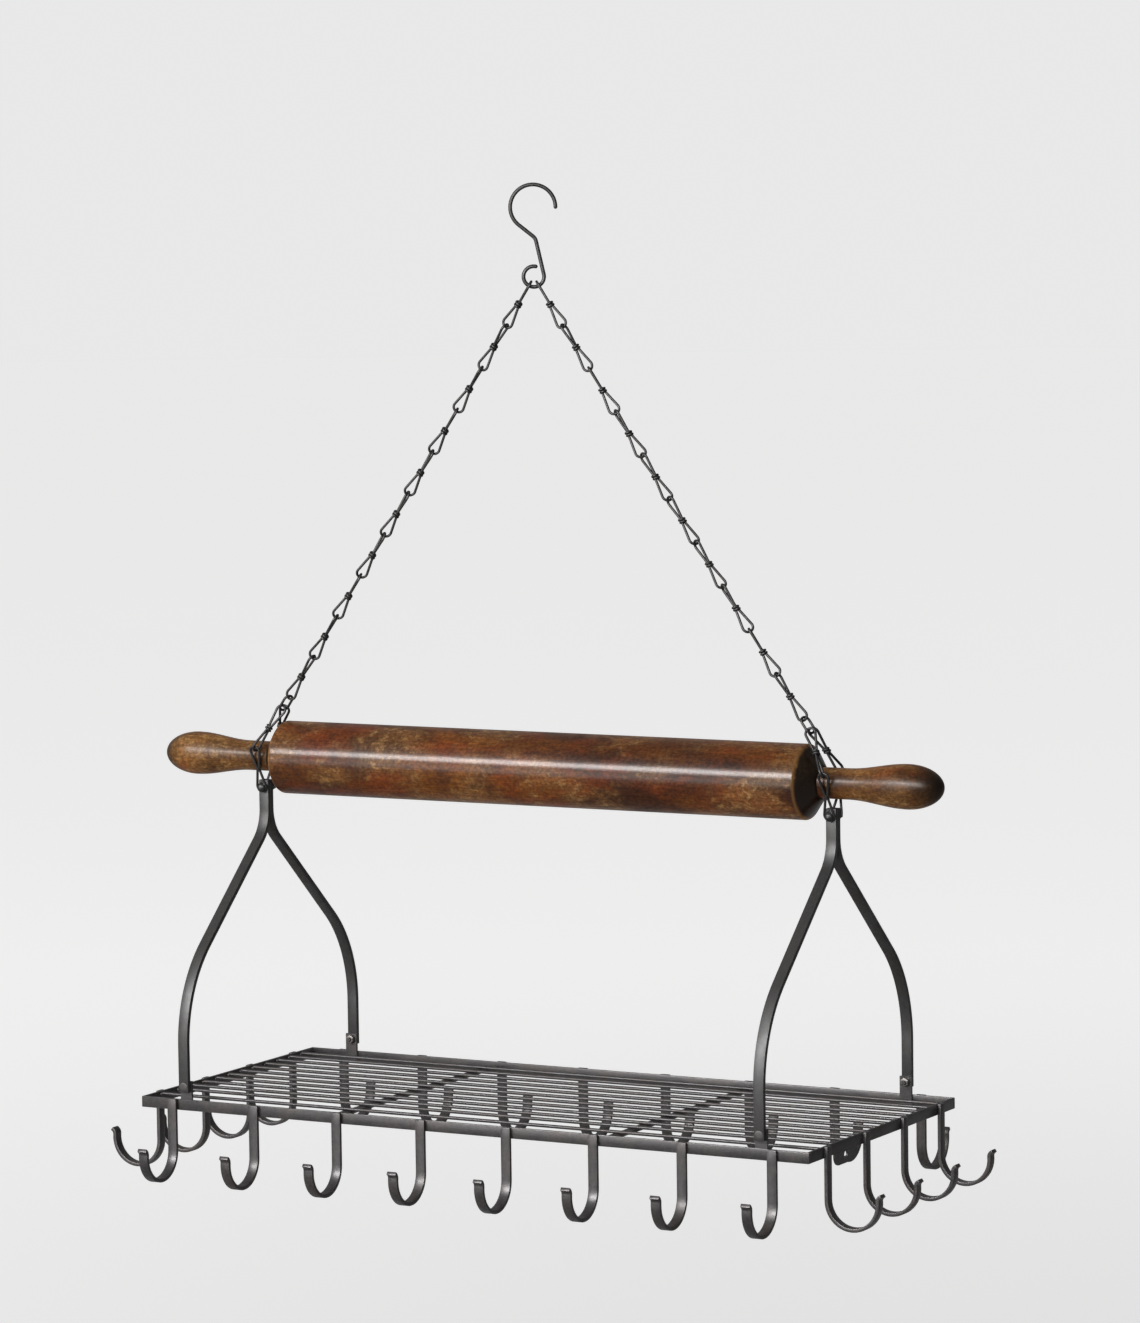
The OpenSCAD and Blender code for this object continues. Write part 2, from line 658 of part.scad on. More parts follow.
leg(RIGHT, BACK);  // right_back_leg
sling_bolts();
sling_nuts();
leg_tabs();
foot_bolts();
foot_nuts();
long_rail(FRONT);  // front_rail
long_rail(BACK);  // back_rail
side_rail(LEFT);  // left_rail
side_rail(RIGHT);  // right_rail
rail_ear();
grid_wires();
cross_bars();
long_hooks(FRONT, 0, half_hooks - 1);  // front_hooks_left
long_hooks(FRONT, half_hooks, hooks_long_n - 1);  // front_hooks_right
long_hooks(BACK, 0, half_hooks - 1);  // back_hooks_left
long_hooks(BACK, half_hooks, hooks_long_n - 1);  // back_hooks_right
side_hooks(LEFT);  // left_hooks
side_hooks(RIGHT);  // right_hooks
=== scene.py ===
"""A hanging pot rack: a rolling pin slung from two chains carries a wire shelf with flat-bar pan hooks."""

import math

import bpy
from mathutils import Matrix, Vector


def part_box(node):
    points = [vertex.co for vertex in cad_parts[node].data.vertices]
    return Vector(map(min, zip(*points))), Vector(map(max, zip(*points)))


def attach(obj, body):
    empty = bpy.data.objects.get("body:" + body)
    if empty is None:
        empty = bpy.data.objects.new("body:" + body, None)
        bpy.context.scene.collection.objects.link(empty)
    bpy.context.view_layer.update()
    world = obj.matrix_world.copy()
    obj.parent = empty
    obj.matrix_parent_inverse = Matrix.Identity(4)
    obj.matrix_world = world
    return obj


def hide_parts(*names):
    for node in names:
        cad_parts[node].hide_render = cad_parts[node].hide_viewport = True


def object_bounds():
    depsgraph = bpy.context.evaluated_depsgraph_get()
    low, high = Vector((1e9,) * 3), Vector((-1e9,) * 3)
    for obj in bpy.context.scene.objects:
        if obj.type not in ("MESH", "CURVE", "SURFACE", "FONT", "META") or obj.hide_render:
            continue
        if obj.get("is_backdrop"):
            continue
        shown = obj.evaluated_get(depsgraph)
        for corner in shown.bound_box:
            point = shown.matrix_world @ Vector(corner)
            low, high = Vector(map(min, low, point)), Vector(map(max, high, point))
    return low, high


bl_info = {
    "name": "Hanging Pot Rack",
    "version": (1, 0, 0),
    "blender": (4, 5, 0),
    "location": "View3D > Sidebar > Pot Rack",
    "description": "Models and finishes a pot rack that hangs from a rolling pin on two chains",
    "category": "Object",
}

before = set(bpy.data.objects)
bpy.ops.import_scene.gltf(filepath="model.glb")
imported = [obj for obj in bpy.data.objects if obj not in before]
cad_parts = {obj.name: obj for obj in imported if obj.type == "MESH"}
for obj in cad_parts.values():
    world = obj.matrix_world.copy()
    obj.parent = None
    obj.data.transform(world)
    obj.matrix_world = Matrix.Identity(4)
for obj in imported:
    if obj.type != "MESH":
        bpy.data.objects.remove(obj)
FRONT_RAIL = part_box("front_rail")
RAIL_TOP = FRONT_RAIL[1].z
RAIL_UNDER = FRONT_RAIL[0].z
RAIL_X = FRONT_RAIL[1].x
RAIL_Y = -FRONT_RAIL[0].y
RAIL_T = FRONT_RAIL[1].y - FRONT_RAIL[0].y
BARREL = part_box("pin_barrel")
PIN_Z = (BARREL[0].z + BARREL[1].z) / 2
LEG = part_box("right_back_leg")

# the camera that the photograph was taken with, turned by radians and placed in metres from the shelf's middle
CAMERA_YAW, CAMERA_PITCH, CAMERA_ROLL = 0.5037, 0.0924, 0.0138
CAMERA_AT = Vector((2.7932, -4.9998, 1.0046 + RAIL_TOP))
CAMERA_LENS = 145.3
CAMERA_SENSOR = 36

# how finely round shapes are modelled
SMOOTH_BELOW = math.radians(35)
BEVELLED_SMOOTH_BELOW = math.radians(40)
BARREL_SIDES, HANDLE_SIDES, BOLT_SIDES = 128, 96, 32
HOOK_PARTS, LIP_PARTS = 26, 10
LOWER_BEND_PARTS, UPPER_BEND_PARTS = 20, 14
RIM_PARTS, HANDLE_PARTS, TIP_PARTS = 6, 24, 22
FLOOR_SIDES = 96

# small sizes in metres, and shares
TIP_CLOSED = 0.985
# width of the painted highlight line along each rim of the barrel
RIM_HIGHLIGHT_WIDTH = 0.0018
HEAD_PROUD = 0.0005
NUT_CHAMFER = 0.0007
NUT_EDGE = 0.00015

# the studio: the floor, its lift for the camera, the daylight, and each lamp's place, target, size and watts
FLOOR_DROP = 0.5
FLOOR_RADIUS = 40
LIFT_REACH = 5.5
LIFT_NEAR, LIFT_FAR = 0.37, 0.61
DAYLIGHT_FROM = (-0.62, -0.45, 0.64)
DAYLIGHT_LEAST, DAYLIGHT_MOST, DAYLIGHT_SHOWN = 0.06, 0.44, 0.81
KEY_SOFTBOX = ((-3.0, -3.6, 2.4), (0, 0, -0.75), (3.2, 3.2), 150)
STRIP_LIGHT = ((-0.4, -3.6, 0.80), (0, 0, -0.63), (5.0, 0.78), 500)
FRONT_SOFTBOX = ((-2.4, -5.0, -0.9), (0, 0, -0.75), (3.0, 1.4), 62)


# --- sizes and colours ---
def length(name, description, default):
    return bpy.props.FloatProperty(name=name, description=description, default=default, min=0.0, unit="LENGTH")


def turn(name, description, degrees):
    return bpy.props.FloatProperty(
        name=name, description=description, default=math.radians(degrees), subtype="ANGLE"
    )


def colour(name, description, default):
    return bpy.props.FloatVectorProperty(
        name=name, description=description, default=default, min=0.0, max=1.0, size=3, subtype="COLOR"
    )


class PotRackSizes(bpy.types.PropertyGroup):
    bar_edge: length("Bar edge", "Rounding along the edges of the flat bars", 0.0006)
    weld_size: length("Weld size", "How far a weld bead stands out", 0.0022)
    hook_width: length("Hook width", "Width of a pan hook's bar", 0.011)
    hook_thickness: length("Hook thickness", "Thickness of a pan hook's bar", 0.004)
    hook_bend: length("Hook bend", "Inner radius of a pan hook's bend", 0.027)
    hook_drop: length("Hook drop", "From the rail's top down to the underside of a pan hook's bend", 0.0865)
    hook_over: turn("Hook past level", "How far the bend goes on past half a turn", 5)
    lip_bend: length("Lip bend", "Inner radius of the flared lip", 0.004)
    lip_turn: turn("Lip flare", "How far the lip turns outwards", 62)
    lip_length: length("Lip length", "Straight end of the lip", 0.0015)
    hook_end_long: length("First front hook", "From the end of a long rail to its first hook", 0.041)
    hook_end_side: length("First side hook", "From the end of a side rail to its first hook", 0.040)
    leg_width: length("Bracket bar width", "Width of a bracket's bars", 0.012)
    leg_thickness: length("Bracket bar thickness", "Thickness of a bracket's bars", 0.0055)
    leg_joined: length("Joined length", "Straight length where two bars lie together", 0.032)
    leg_slope: turn("Bar slope", "Slope of the bars between their bends", 48)
    lower_bend: length("Lower bend", "Radius of the bars' lower bends", 0.140)
    upper_bend: length("Upper bend", "Radius of the bars' upper bends", 0.045)
    cross_bar_width: length("Cross bar width", "Width of the two bars under the grid", 0.012)
    grid_wires: bpy.props.IntProperty(
        name="Grid wires", description="How many wires run the length of the shelf", default=12, min=3
    )
    grid_front_gap: length("Front grid gap", "Each of the first two gaps behind the front rail", 0.033)
    barrel_radius: length("Barrel radius", "Radius of the rolling pin's barrel", 0.04025)
    barrel_edge: length("Barrel edge", "Rounding of the barrel's two rims", 0.003)
    cone_length: length("Cone length", "Length of the cone at each end of the barrel", 0.016)
    neck_radius: length("Neck radius", "Radius of a handle beside the barrel", 0.0165)
    neck_length: length("Neck length", "Straight length of a handle's neck", 0.030)
    handle_radius: length("Handle radius", "Radius of a handle at its fullest", 0.02375)
    handle_end: length("Handle end", "Length of a handle's rounded end", 0.040)
    nut_width: length("Nut width", "Across the flats of a nut", 0.009)
    nut_height: length("Nut height", "Height of a nut", 0.004)
    bolt_width: length("Bolt width", "Diameter of a foot bolt", 0.005)
    bolt_head: length("Bolt head", "Diameter of a foot bolt's head", 0.010)
    bolt_past: length("Bolt past nut", "How far a foot bolt stands out of its nut", 0.002)


class PotRackColours(bpy.types.PropertyGroup):
    steel: colour("Steel", "Paint of the shelf, its hooks and the foot bolts", (0.050, 0.046, 0.048))
    steel_brown: colour("Steel brown", "Brown tint in that paint", (0.056, 0.046, 0.043))
    steel_worn: colour("Worn steel", "Rubbed edges", (0.20, 0.185, 0.18))
    zinc: colour("Zinc", "Zinc of the foot nuts and sling nuts", (0.200, 0.185, 0.170))
    # painted shade: the brackets get a darker copy of the shelf's paint for their shaded slopes
    bracket: colour("Bracket", "Paint of the brackets, darkened as painted shade", (0.030, 0.0285, 0.028))
    wire: colour("Wire", "Chains, ceiling hook, slings and sling bolts", (0.011, 0.010, 0.0096))
    # on the brackets this brown tint also darkens the paint, as painted shade
    wire_brown: colour("Wire brown", "Brown tint on the wire and the brackets", (0.019, 0.015, 0.013))
    wood_dark: colour("Dark stain", "Darkest patches of the wood", (0.056, 0.015, 0.004))
    wood_brown: colour("Brown stain", "Main colour of the wood", (0.205, 0.064, 0.009))
    wood_red: colour("Red stain", "Reddish patches of the wood", (0.205, 0.042, 0.007))
    wood_gold: colour("Golden wood", "Rubbed golden patches", (0.470, 0.250, 0.085))
    # painted shade: the barrel's cones and the handles' tips are darkened in their colour
    wood_end_shade: colour("End shade", "Painted shade on the barrel's cones and the tips of the handles", (0.016, 0.010, 0.006))
    handle_brown: colour("Handle brown", "Main colour of the handles", (0.260, 0.105, 0.026))
    backdrop: colour("Floor", "Floor under the rack", (0.60, 0.60, 0.598))


# --- modelling ---
def only(piece):
    """Selects one piece and nothing else."""
    bpy.ops.object.select_all(action="DESELECT")
    piece.select_set(True)
    bpy.context.view_layer.objects.active = piece


def edit(piece):
    """Enters edit mode with all of one piece selected."""
    only(piece)
    bpy.ops.object.mode_set(mode="EDIT")
    bpy.ops.mesh.select_mode(type="FACE")
    bpy.ops.mesh.select_all(action="SELECT")


def start(kind, name, at, extent=(1, 1, 1), turned=(0, 0, 0), **more):
    """Adds a primitive at its place and size, with its object at the origin."""
    bpy.ops.object.select_all(action="DESELECT")
    getattr(bpy.ops.mesh, f"primitive_{kind}_add")(location=at, rotation=turned, **more)
    piece = bpy.context.object
    piece.name = piece.data.name = name
    piece.scale = extent
    bpy.ops.object.transform_apply(location=True, rotation=True, scale=True)
    return piece


def run(step):
    """Extrudes the selected end along a straight line."""
    bpy.ops.mesh.extrude_region_move(TRANSFORM_OT_translate={"value": step})


def bend(centre, axis, angle, count):
    """Turns the selected end about an axis, counterclockwise round it for a positive angle."""
    bpy.ops.mesh.spin(steps=count, angle=-angle, center=centre, axis=axis, dupli=False)


def steps(first, last, count):
    """Evenly spaced values from the first to the last."""
    return [first + (last - first) * i / count for i in range(count + 1)]


def lathe(name, along, centre, profile, sides):
    """Turns a closed piece about an axis along X or Y, ring after ring, from (place, radius) pairs."""
    axis = Vector((1, 0, 0)) if along == "X" else Vector((0, 1, 0))
    turned = (0, math.pi / 2, 0) if along == "X" else (math.pi / 2, 0, 0)
    place, radius = profile[0]
    at = Vector(centre) + axis * place
    piece = start("circle", name, at, turned=turned, vertices=sides, radius=radius, fill_type="NGON")
    edit(piece)
    for next_place, next_radius in profile[1:]:
        run(axis * (next_place - place))
        if next_radius != radius:
            ratio = next_radius / radius
            wider = (1, ratio, ratio) if along == "X" else (ratio, 1, ratio)
            bpy.ops.transform.resize(value=wider, center_override=Vector(centre) + axis * next_place)
        place, radius = next_place, next_radius
    outwards()
    only(piece)
    bpy.ops.object.shade_smooth_by_angle(angle=SMOOTH_BELOW)
    return piece


def outwards():
    """Turns all faces outwards and leaves edit mode."""
    bpy.ops.mesh.select_all(action="SELECT")
    bpy.ops.mesh.normals_make_consistent(inside=False)
    bpy.ops.object.mode_set(mode="OBJECT")


def soften(piece, width, segments=2, above=30):
    """Rounds every edge sharper than an angle, and smooths what is left."""
    only(piece)
    bpy.ops.object.modifier_add(type="BEVEL")
    rounding = piece.modifiers[-1]
    rounding.width = width
    rounding.segments = segments
    rounding.limit_method = "ANGLE"
    rounding.angle_limit = math.radians(above)
    rounding.use_clamp_overlap = True
    bpy.ops.object.modifier_apply(modifier=rounding.name)
    bpy.ops.object.shade_smooth_by_angle(angle=BEVELLED_SMOOTH_BELOW)


def copied(piece, name, place):
    """A copy with its own mesh, set down by a matrix."""
    copy = piece.copy()
    copy.data = piece.data.copy()
    copy.name = copy.data.name = name
    bpy.context.scene.collection.objects.link(copy)
    copy.data.transform(place)
    if place.determinant() < 0:
        edit(copy)
        outwards()
    return copy


def joined(pieces, name):
    bpy.ops.object.select_all(action="DESELECT")
    for piece in pieces:
        piece.select_set(True)
    bpy.context.view_layer.objects.active = pieces[0]
    bpy.ops.object.join()
    pieces[0].name = pieces[0].data.name = name
    return pieces[0]


def fit_out(piece, body, slot, material, *nodes):
    """Gives a finished piece its material and the body it rides on, and hides the CAD nodes it stands for; the slot is
    not used.
    """
    piece.data.materials.clear()
    piece.data.materials.append(material)
    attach(piece, body)
    if nodes:
        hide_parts(*nodes)


# --- materials ---
def put(tree, kind, at, props=(), **inputs):
    """Adds a node and fills or links its inputs, each given by its name or as i and its number."""
    node = tree.nodes.new(kind)
    node.location = at
    for key, value in dict(props).items():
        setattr(node, key, value)
    for key, value in inputs.items():
        numbered = key[0] == "i" and key[1:].isdigit()
        socket = node.inputs[int(key[1:]) if numbered else key.replace("_", " ")]
        if isinstance(value, bpy.types.NodeSocket):
            tree.links.new(value, socket)
        else:
            socket.default_value = value
    return node


def blend_colours(tree, at, factor, a, b, kind="MIX"):
    node = put(tree, "ShaderNodeMix", at, {"data_type": "RGBA", "blend_type": kind}, i0=factor, i6=a, i7=b)
    return node.outputs[2]


def sums(tree, at, kind, a, b, clamp=False):
    return put(tree, "ShaderNodeMath", at, {"operation": kind, "use_clamp": clamp}, i0=a, i1=b).outputs[0]


def effect(name, inputs, outputs):
    """A node group with named sockets."""
    group = bpy.data.node_groups.new(name, "ShaderNodeTree")
    for label, kind, default in inputs:
        socket = group.interface.new_socket(label, in_out="INPUT", socket_type=kind)
        if default is not None:
            socket.default_value = default
    for label, kind in outputs:
        group.interface.new_socket(label, in_out="OUTPUT", socket_type=kind)
    start_node = group.nodes.new("NodeGroupInput")
    start_node.location = (-900, 0)
    end_node = group.nodes.new("NodeGroupOutput")
    end_node.location = (600, 0)
    return group, start_node.outputs, end_node.inputs


def build_patches():
    """Soft patches, stretched along X, between two levels of a noise."""
    group, given, out = effect(
        "Patches",
        [
            ("Vector", "NodeSocketVector", None),
            ("Scale", "NodeSocketFloat", 20.0),
            ("Stretch", "NodeSocketFloat", 1.0),
            ("Detail", "NodeSocketFloat", 4.0),
            ("Low", "NodeSocketFloat", 0.4),
            ("High", "NodeSocketFloat", 0.6),
        ],
        [("Mask", "NodeSocketFloat")],
    )
    shrink = sums(group, (-720, -160), "DIVIDE", 1.0, given["Stretch"])
    scale = put(group, "ShaderNodeCombineXYZ", (-560, -160), X=shrink, Y=1.0, Z=1.0)
    place = put(
        group, "ShaderNodeVectorMath", (-400, 0), {"operation": "MULTIPLY"}, i0=given["Vector"], i1=scale.outputs[0]
    )
    noise = put(
        group, "ShaderNodeTexNoise", (-220, 0), Vector=place.outputs[0], Scale=given["Scale"], Detail=given["Detail"],
        Roughness=0.6,
    )
    level = put(
        group, "ShaderNodeMapRange", (0, 0), {"interpolation_type": "SMOOTHSTEP"}, Value=noise.outputs["Fac"],
        From_Min=given["Low"], From_Max=given["High"],
    )
    group.links.new(level.outputs[0], out["Mask"])
    return group


def build_edge_wear():
    """Rubbed edges: where the surface turns sharply within a small radius, broken up by a noise."""
    group, given, out = effect(
        "Edge wear",
        [
            ("Vector", "NodeSocketVector", None),
            ("Radius", "NodeSocketFloat", 0.001),
            ("Breaks", "NodeSocketFloat", 60.0),
            ("Amount", "NodeSocketFloat", 1.0),
        ],
        [("Mask", "NodeSocketFloat")],
    )
    rounded = put(group, "ShaderNodeBevel", (-720, 120), {"samples": 4}, Radius=given["Radius"])
    plain = put(group, "ShaderNodeNewGeometry", (-720, -80))
    match = put(
        group, "ShaderNodeVectorMath", (-520, 60), {"operation": "DOT_PRODUCT"}, i0=rounded.outputs[0],
        i1=plain.outputs["Normal"],
    )
    turned = put(
        group, "ShaderNodeMapRange", (-340, 60), {"interpolation_type": "SMOOTHSTEP"}, Value=match.outputs["Value"],
        From_Min=0.995, From_Max=0.90,
    )
    noise = put(group, "ShaderNodeTexNoise", (-520, -220), Vector=given["Vector"], Scale=given["Breaks"], Detail=5.0)
    broken = put(group, "ShaderNodeMapRange", (-340, -220), Value=noise.outputs["Fac"], From_Min=0.35, From_Max=0.65)
    mask = sums(group, (-140, 0), "MULTIPLY", turned.outputs[0], broken.outputs[0])
    mask = sums(group, (60, 0), "MULTIPLY", mask, given["Amount"], clamp=True)
    group.links.new(mask, out["Mask"])
    return group


def shader(name, at=(700, 0), **inputs):
    """A new material with its Principled shader; returns the material, its tree and the shader."""
    material = bpy.data.materials.new(name)
    material.use_nodes = True
    tree = material.node_tree
    surface = tree.nodes["Principled BSDF"]
    surface.location = at
    tree.nodes["Material Output"].location = (at[0] + 300, at[1])
    for key, value in inputs.items():
        surface.inputs[key.replace("_", " ")].default_value = value
    return material, tree, surface


def use(tree, group, at, **inputs):
    """Places a shared effect in a material and returns its mask."""
    return put(tree, "ShaderNodeGroup", at, {"node_tree": group}, **inputs).outputs[0]


def whole(rgb):
    """A colour with its alpha."""
    return (*rgb, 1.0)


def steel_paint(name, groups, base, tint, worn, metallic, rough, wear, grain_height):
    """Satin finish on steel: two tones in patches, fine grain, edges rubbed lighter."""
    material, tree, surface = shader(name, Metallic=metallic)
    at = put(tree, "ShaderNodeTexCoord", (-1100, 0)).outputs["Object"]
    patches = groups["Patches"]
    tone = use(tree, patches, (-800, 200), Vector=at, Scale=28.0, Stretch=1.0, Detail=6.0, Low=0.38, High=0.66)
    cloud = use(tree, patches, (-800, 0), Vector=at, Scale=240.0, Stretch=1.0, Detail=3.0, Low=0.3, High=0.75)
    rub = use(tree, groups["Edge wear"], (-800, -200), Vector=at, Radius=0.0011, Breaks=70.0, Amount=wear)
    paint = blend_colours(tree, (-500, 200), tone, whole(base), whole(tint))
    shade = put(tree, "ShaderNodeMapRange", (-600, 0), Value=cloud, To_Min=0.82, To_Max=1.18)
    paint = blend_colours(tree, (-300, 120), 1.0, paint, shade.outputs[0], "MULTIPLY")
    paint = blend_colours(tree, (-100, 120), rub, paint, whole(worn))
    tree.links.new(paint, surface.inputs["Base Color"])
    gloss = put(tree, "ShaderNodeMapRange", (-300, -120), Value=tone, To_Min=rough - 0.05, To_Max=rough + 0.09)
    tree.links.new(gloss.outputs[0], surface.inputs["Roughness"])
    grain = put(tree, "ShaderNodeTexNoise", (-500, -420), Vector=at, Scale=900.0, Detail=3.0)
    bump = put(
        tree, "ShaderNodeBump", (300, -300), Strength=0.25, Distance=grain_height, Height=grain.outputs["Fac"]
    )
    tree.links.new(bump.outputs[0], surface.inputs["Normal"])
    return material


def varnished_wood(name, groups, colours, main, ends, rim, varnish, varnish_spread):
    """Stained and distressed hardwood under a varnish; the grain runs along X.

    The ends are the two distances from the middle between which the dark painted shade of the ends comes in, and the
    rim is the distance and width of a painted highlight line.
    """
    material, tree, surface = shader(
        name, Coat_Weight=varnish, Coat_Roughness=varnish_spread, Specular_IOR_Level=0.06
    )
    coords = put(tree, "ShaderNodeTexCoord", (-1500, 0)).outputs["Object"]

    def patches(y, scale, stretch, detail, low, high):
        return use(
            tree, groups["Patches"], (-1200, y), Vector=coords, Scale=scale, Stretch=stretch, Detail=detail, Low=low,
            High=high,
        )

    def share(y, mask, amount):
        return sums(tree, (-700, y), "MULTIPLY", mask, amount)

    broad = patches(500, 13.0, 2.2, 3.0, 0.34, 0.66)
    reds = patches(300, 21.0, 1.8, 4.0, 0.46, 0.64)
    darks = patches(100, 44.0, 1.7, 7.0, 0.48, 0.64)
    golds = patches(-100, 17.0, 1.5, 4.0, 0.42, 0.62)
    flecks = patches(-300, 150.0, 1.5, 9.0, 0.50, 0.64)
    grain = patches(-500, 620.0, 18.0, 4.0, 0.30, 0.72)
    specks = patches(-700, 330.0, 1.3, 6.0, 0.36, 0.64)

    dark, red, gold = whole(colours.wood_dark), whole(colours.wood_red), whole(colours.wood_gold)
    tone = blend_colours(tree, (-900, 500), broad, dark, whole(main))
    tone = blend_colours(tree, (-700, 450), share(300, reds, 0.8), tone, red)
    tone = blend_colours(tree, (-500, 400), share(200, darks, 0.62), tone, dark)
    # the gold shows in small flecks where the stain is rubbed through, and faintly over all of a golden patch
    rubbed = share(-150, sums(tree, (-900, -150), "MULTIPLY", golds, flecks), 0.70)
    tone = blend_colours(tree, (-300, 350), rubbed, tone, gold)
    tone = blend_colours(tree, (-100, 350), share(-300, golds, 0.24), tone, gold)
    streak = put(tree, "ShaderNodeMapRange", (-700, -480), Value=grain, To_Min=0.72, To_Max=1.16)
    tone = blend_colours(tree, (100, 300), 1.0, tone, streak.outputs[0], "MULTIPLY")
    speck = put(tree, "ShaderNodeMapRange", (-900, -700), Value=specks, To_Min=0.66, To_Max=1.30)
    tone = blend_colours(tree, (200, 300), 1.0, tone, speck.outputs[0], "MULTIPLY")

    # both ends are darkened as painted shade, and the rim before them gets a painted highlight line
    along = put(tree, "ShaderNodeSeparateXYZ", (-700, -900), Vector=coords).outputs[0]
    along = sums(tree, (-500, -900), "ABSOLUTE", along, 0.0)
    # painted shade: the colour goes nearly black towards the cones and the handle tips
    stain = put(
        tree, "ShaderNodeMapRange", (-300, -700), {"interpolation_type": "SMOOTHSTEP"}, Value=along,
        From_Min=ends[0], From_Max=ends[1], To_Max=0.92,
    )
    tone = blend_colours(tree, (300, 250), stain.outputs[0], tone, whole(colours.wood_end_shade))
    # painted highlight: a thin golden line along the rim
    off_rim_highlight = sums(tree, (-300, -900), "ABSOLUTE", sums(tree, (-450, -1000), "SUBTRACT", along, rim[0]), 0.0)
    line = put(tree, "ShaderNodeMapRange", (-100, -900), Value=off_rim_highlight, From_Min=rim[1], From_Max=0.0, To_Max=0.55)
    tone = blend_colours(tree, (450, 200), line.outputs[0], tone, gold)
    tree.links.new(tone, surface.inputs["Base Color"])

    gloss = put(tree, "ShaderNodeMapRange", (300, -100), Value=darks, To_Min=0.30, To_Max=0.46)
    tree.links.new(gloss.outputs[0], surface.inputs["Roughness"])
    wobble = put(tree, "ShaderNodeTexNoise", (0, -420), Vector=coords, Scale=22.0, Detail=2.0)
    height = sums(tree, (200, -500), "MULTIPLY", rubbed, -0.12)
    height = sums(tree, (350, -450), "ADD", height, wobble.outputs["Fac"])
    bump = put(tree, "ShaderNodeBump", (480, -400), Strength=0.5, Distance=0.0012, Height=height)
    tree.links.new(bump.outputs[0], surface.inputs["Normal"])
    return material


MATERIALS = {}


def mix_finishes():
    c = bpy.context.scene.pot_rack_colours
    groups = {"Patches": build_patches(), "Edge wear": build_edge_wear()}
    for key, name, base, tint, metallic, rough, wear, grain_height in (
        ("bar", "Dark grey bar paint", c.steel, c.steel_brown, 0.3, 0.40, 0.5, 0.0002),
        ("nut", "Dull nut zinc", c.zinc, c.steel, 0.6, 0.38, 0.6, 0.0001),
        # painted shade: the bracket paint is the bar paint darkened and tinted darker for the shaded slopes
        ("bracket", "Bracket paint darkened as painted shade", c.bracket, c.wire_brown, 0.1, 0.50, 0.4, 0.0002),
        ("wire", "Near-black wire", c.wire, c.wire_brown, 0.2, 0.50, 0.0, 0.0001),
    ):
        MATERIALS[key] = steel_paint(name, groups, base, tint, c.steel_worn, metallic, rough, wear, grain_height)
    rim = BARREL[1].x - bpy.context.scene.pot_rack_sizes.cone_length
    # the barrel's cones get painted shade, and each rim gets a painted highlight line
    MATERIALS["barrel"] = varnished_wood(
        "Varnished barrel wood", groups, c, c.wood_brown, (rim - 0.0005, rim + 0.002), (rim - 0.0010, RIM_HIGHLIGHT_WIDTH),
        0.32, 0.20,
    )
    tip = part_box("right_handle")[1].x
    # the handle tips get painted shade, and a faint painted highlight line lies near the neck
    MATERIALS["handle"] = varnished_wood(
        "Varnished handle wood", groups, c, c.handle_brown, (tip - 0.034, tip - 0.002), (BARREL[1].x + 0.02, 0.0001),
        0.20, 0.32,
    )


# --- operators ---
class POTRACK_OT_finishes(bpy.types.Operator):
    """Mix the paint, zinc and varnish of the rack"""

    bl_idname = "potrack.finishes"
    bl_label = "Finishes"

    def execute(self, context):
        mix_finishes()
        return {"FINISHED"}


class POTRACK_OT_shelf_rails(bpy.types.Operator):
    """Model the four rails of the shelf and the two bars under its grid"""

    bl_idname = "potrack.shelf_rails"
    bl_label = "Shelf Rails"

    def execute(self, context):
        sizes = context.scene.pot_rack_sizes
        for node in ("front_rail", "back_rail", "left_rail", "right_rail"):
            low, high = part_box(node)
            rail = start("cube", node + "_bar", (low + high) / 2, high - low, size=1)
            soften(rail, sizes.bar_edge)
            fit_out(rail, "rack", "rack_steel", MATERIALS["bar"], node)
        low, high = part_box("cross_bars")
        bars = []
        for side in (-1, 1):
            at = Vector((side * (high.x - sizes.cross_bar_width / 2), (low.y + high.y) / 2, (low.z + high.z) / 2))
            bars.append(
                start("cube", "cross_bar", at, (sizes.cross_bar_width, high.y - low.y, high.z - low.z), size=1)
            )
        bars = joined(bars, "cross_bar_pair")
        soften(bars, sizes.bar_edge)
        fit_out(bars, "rack", "rack_steel", MATERIALS["bar"], "cross_bars")
        return {"FINISHED"}


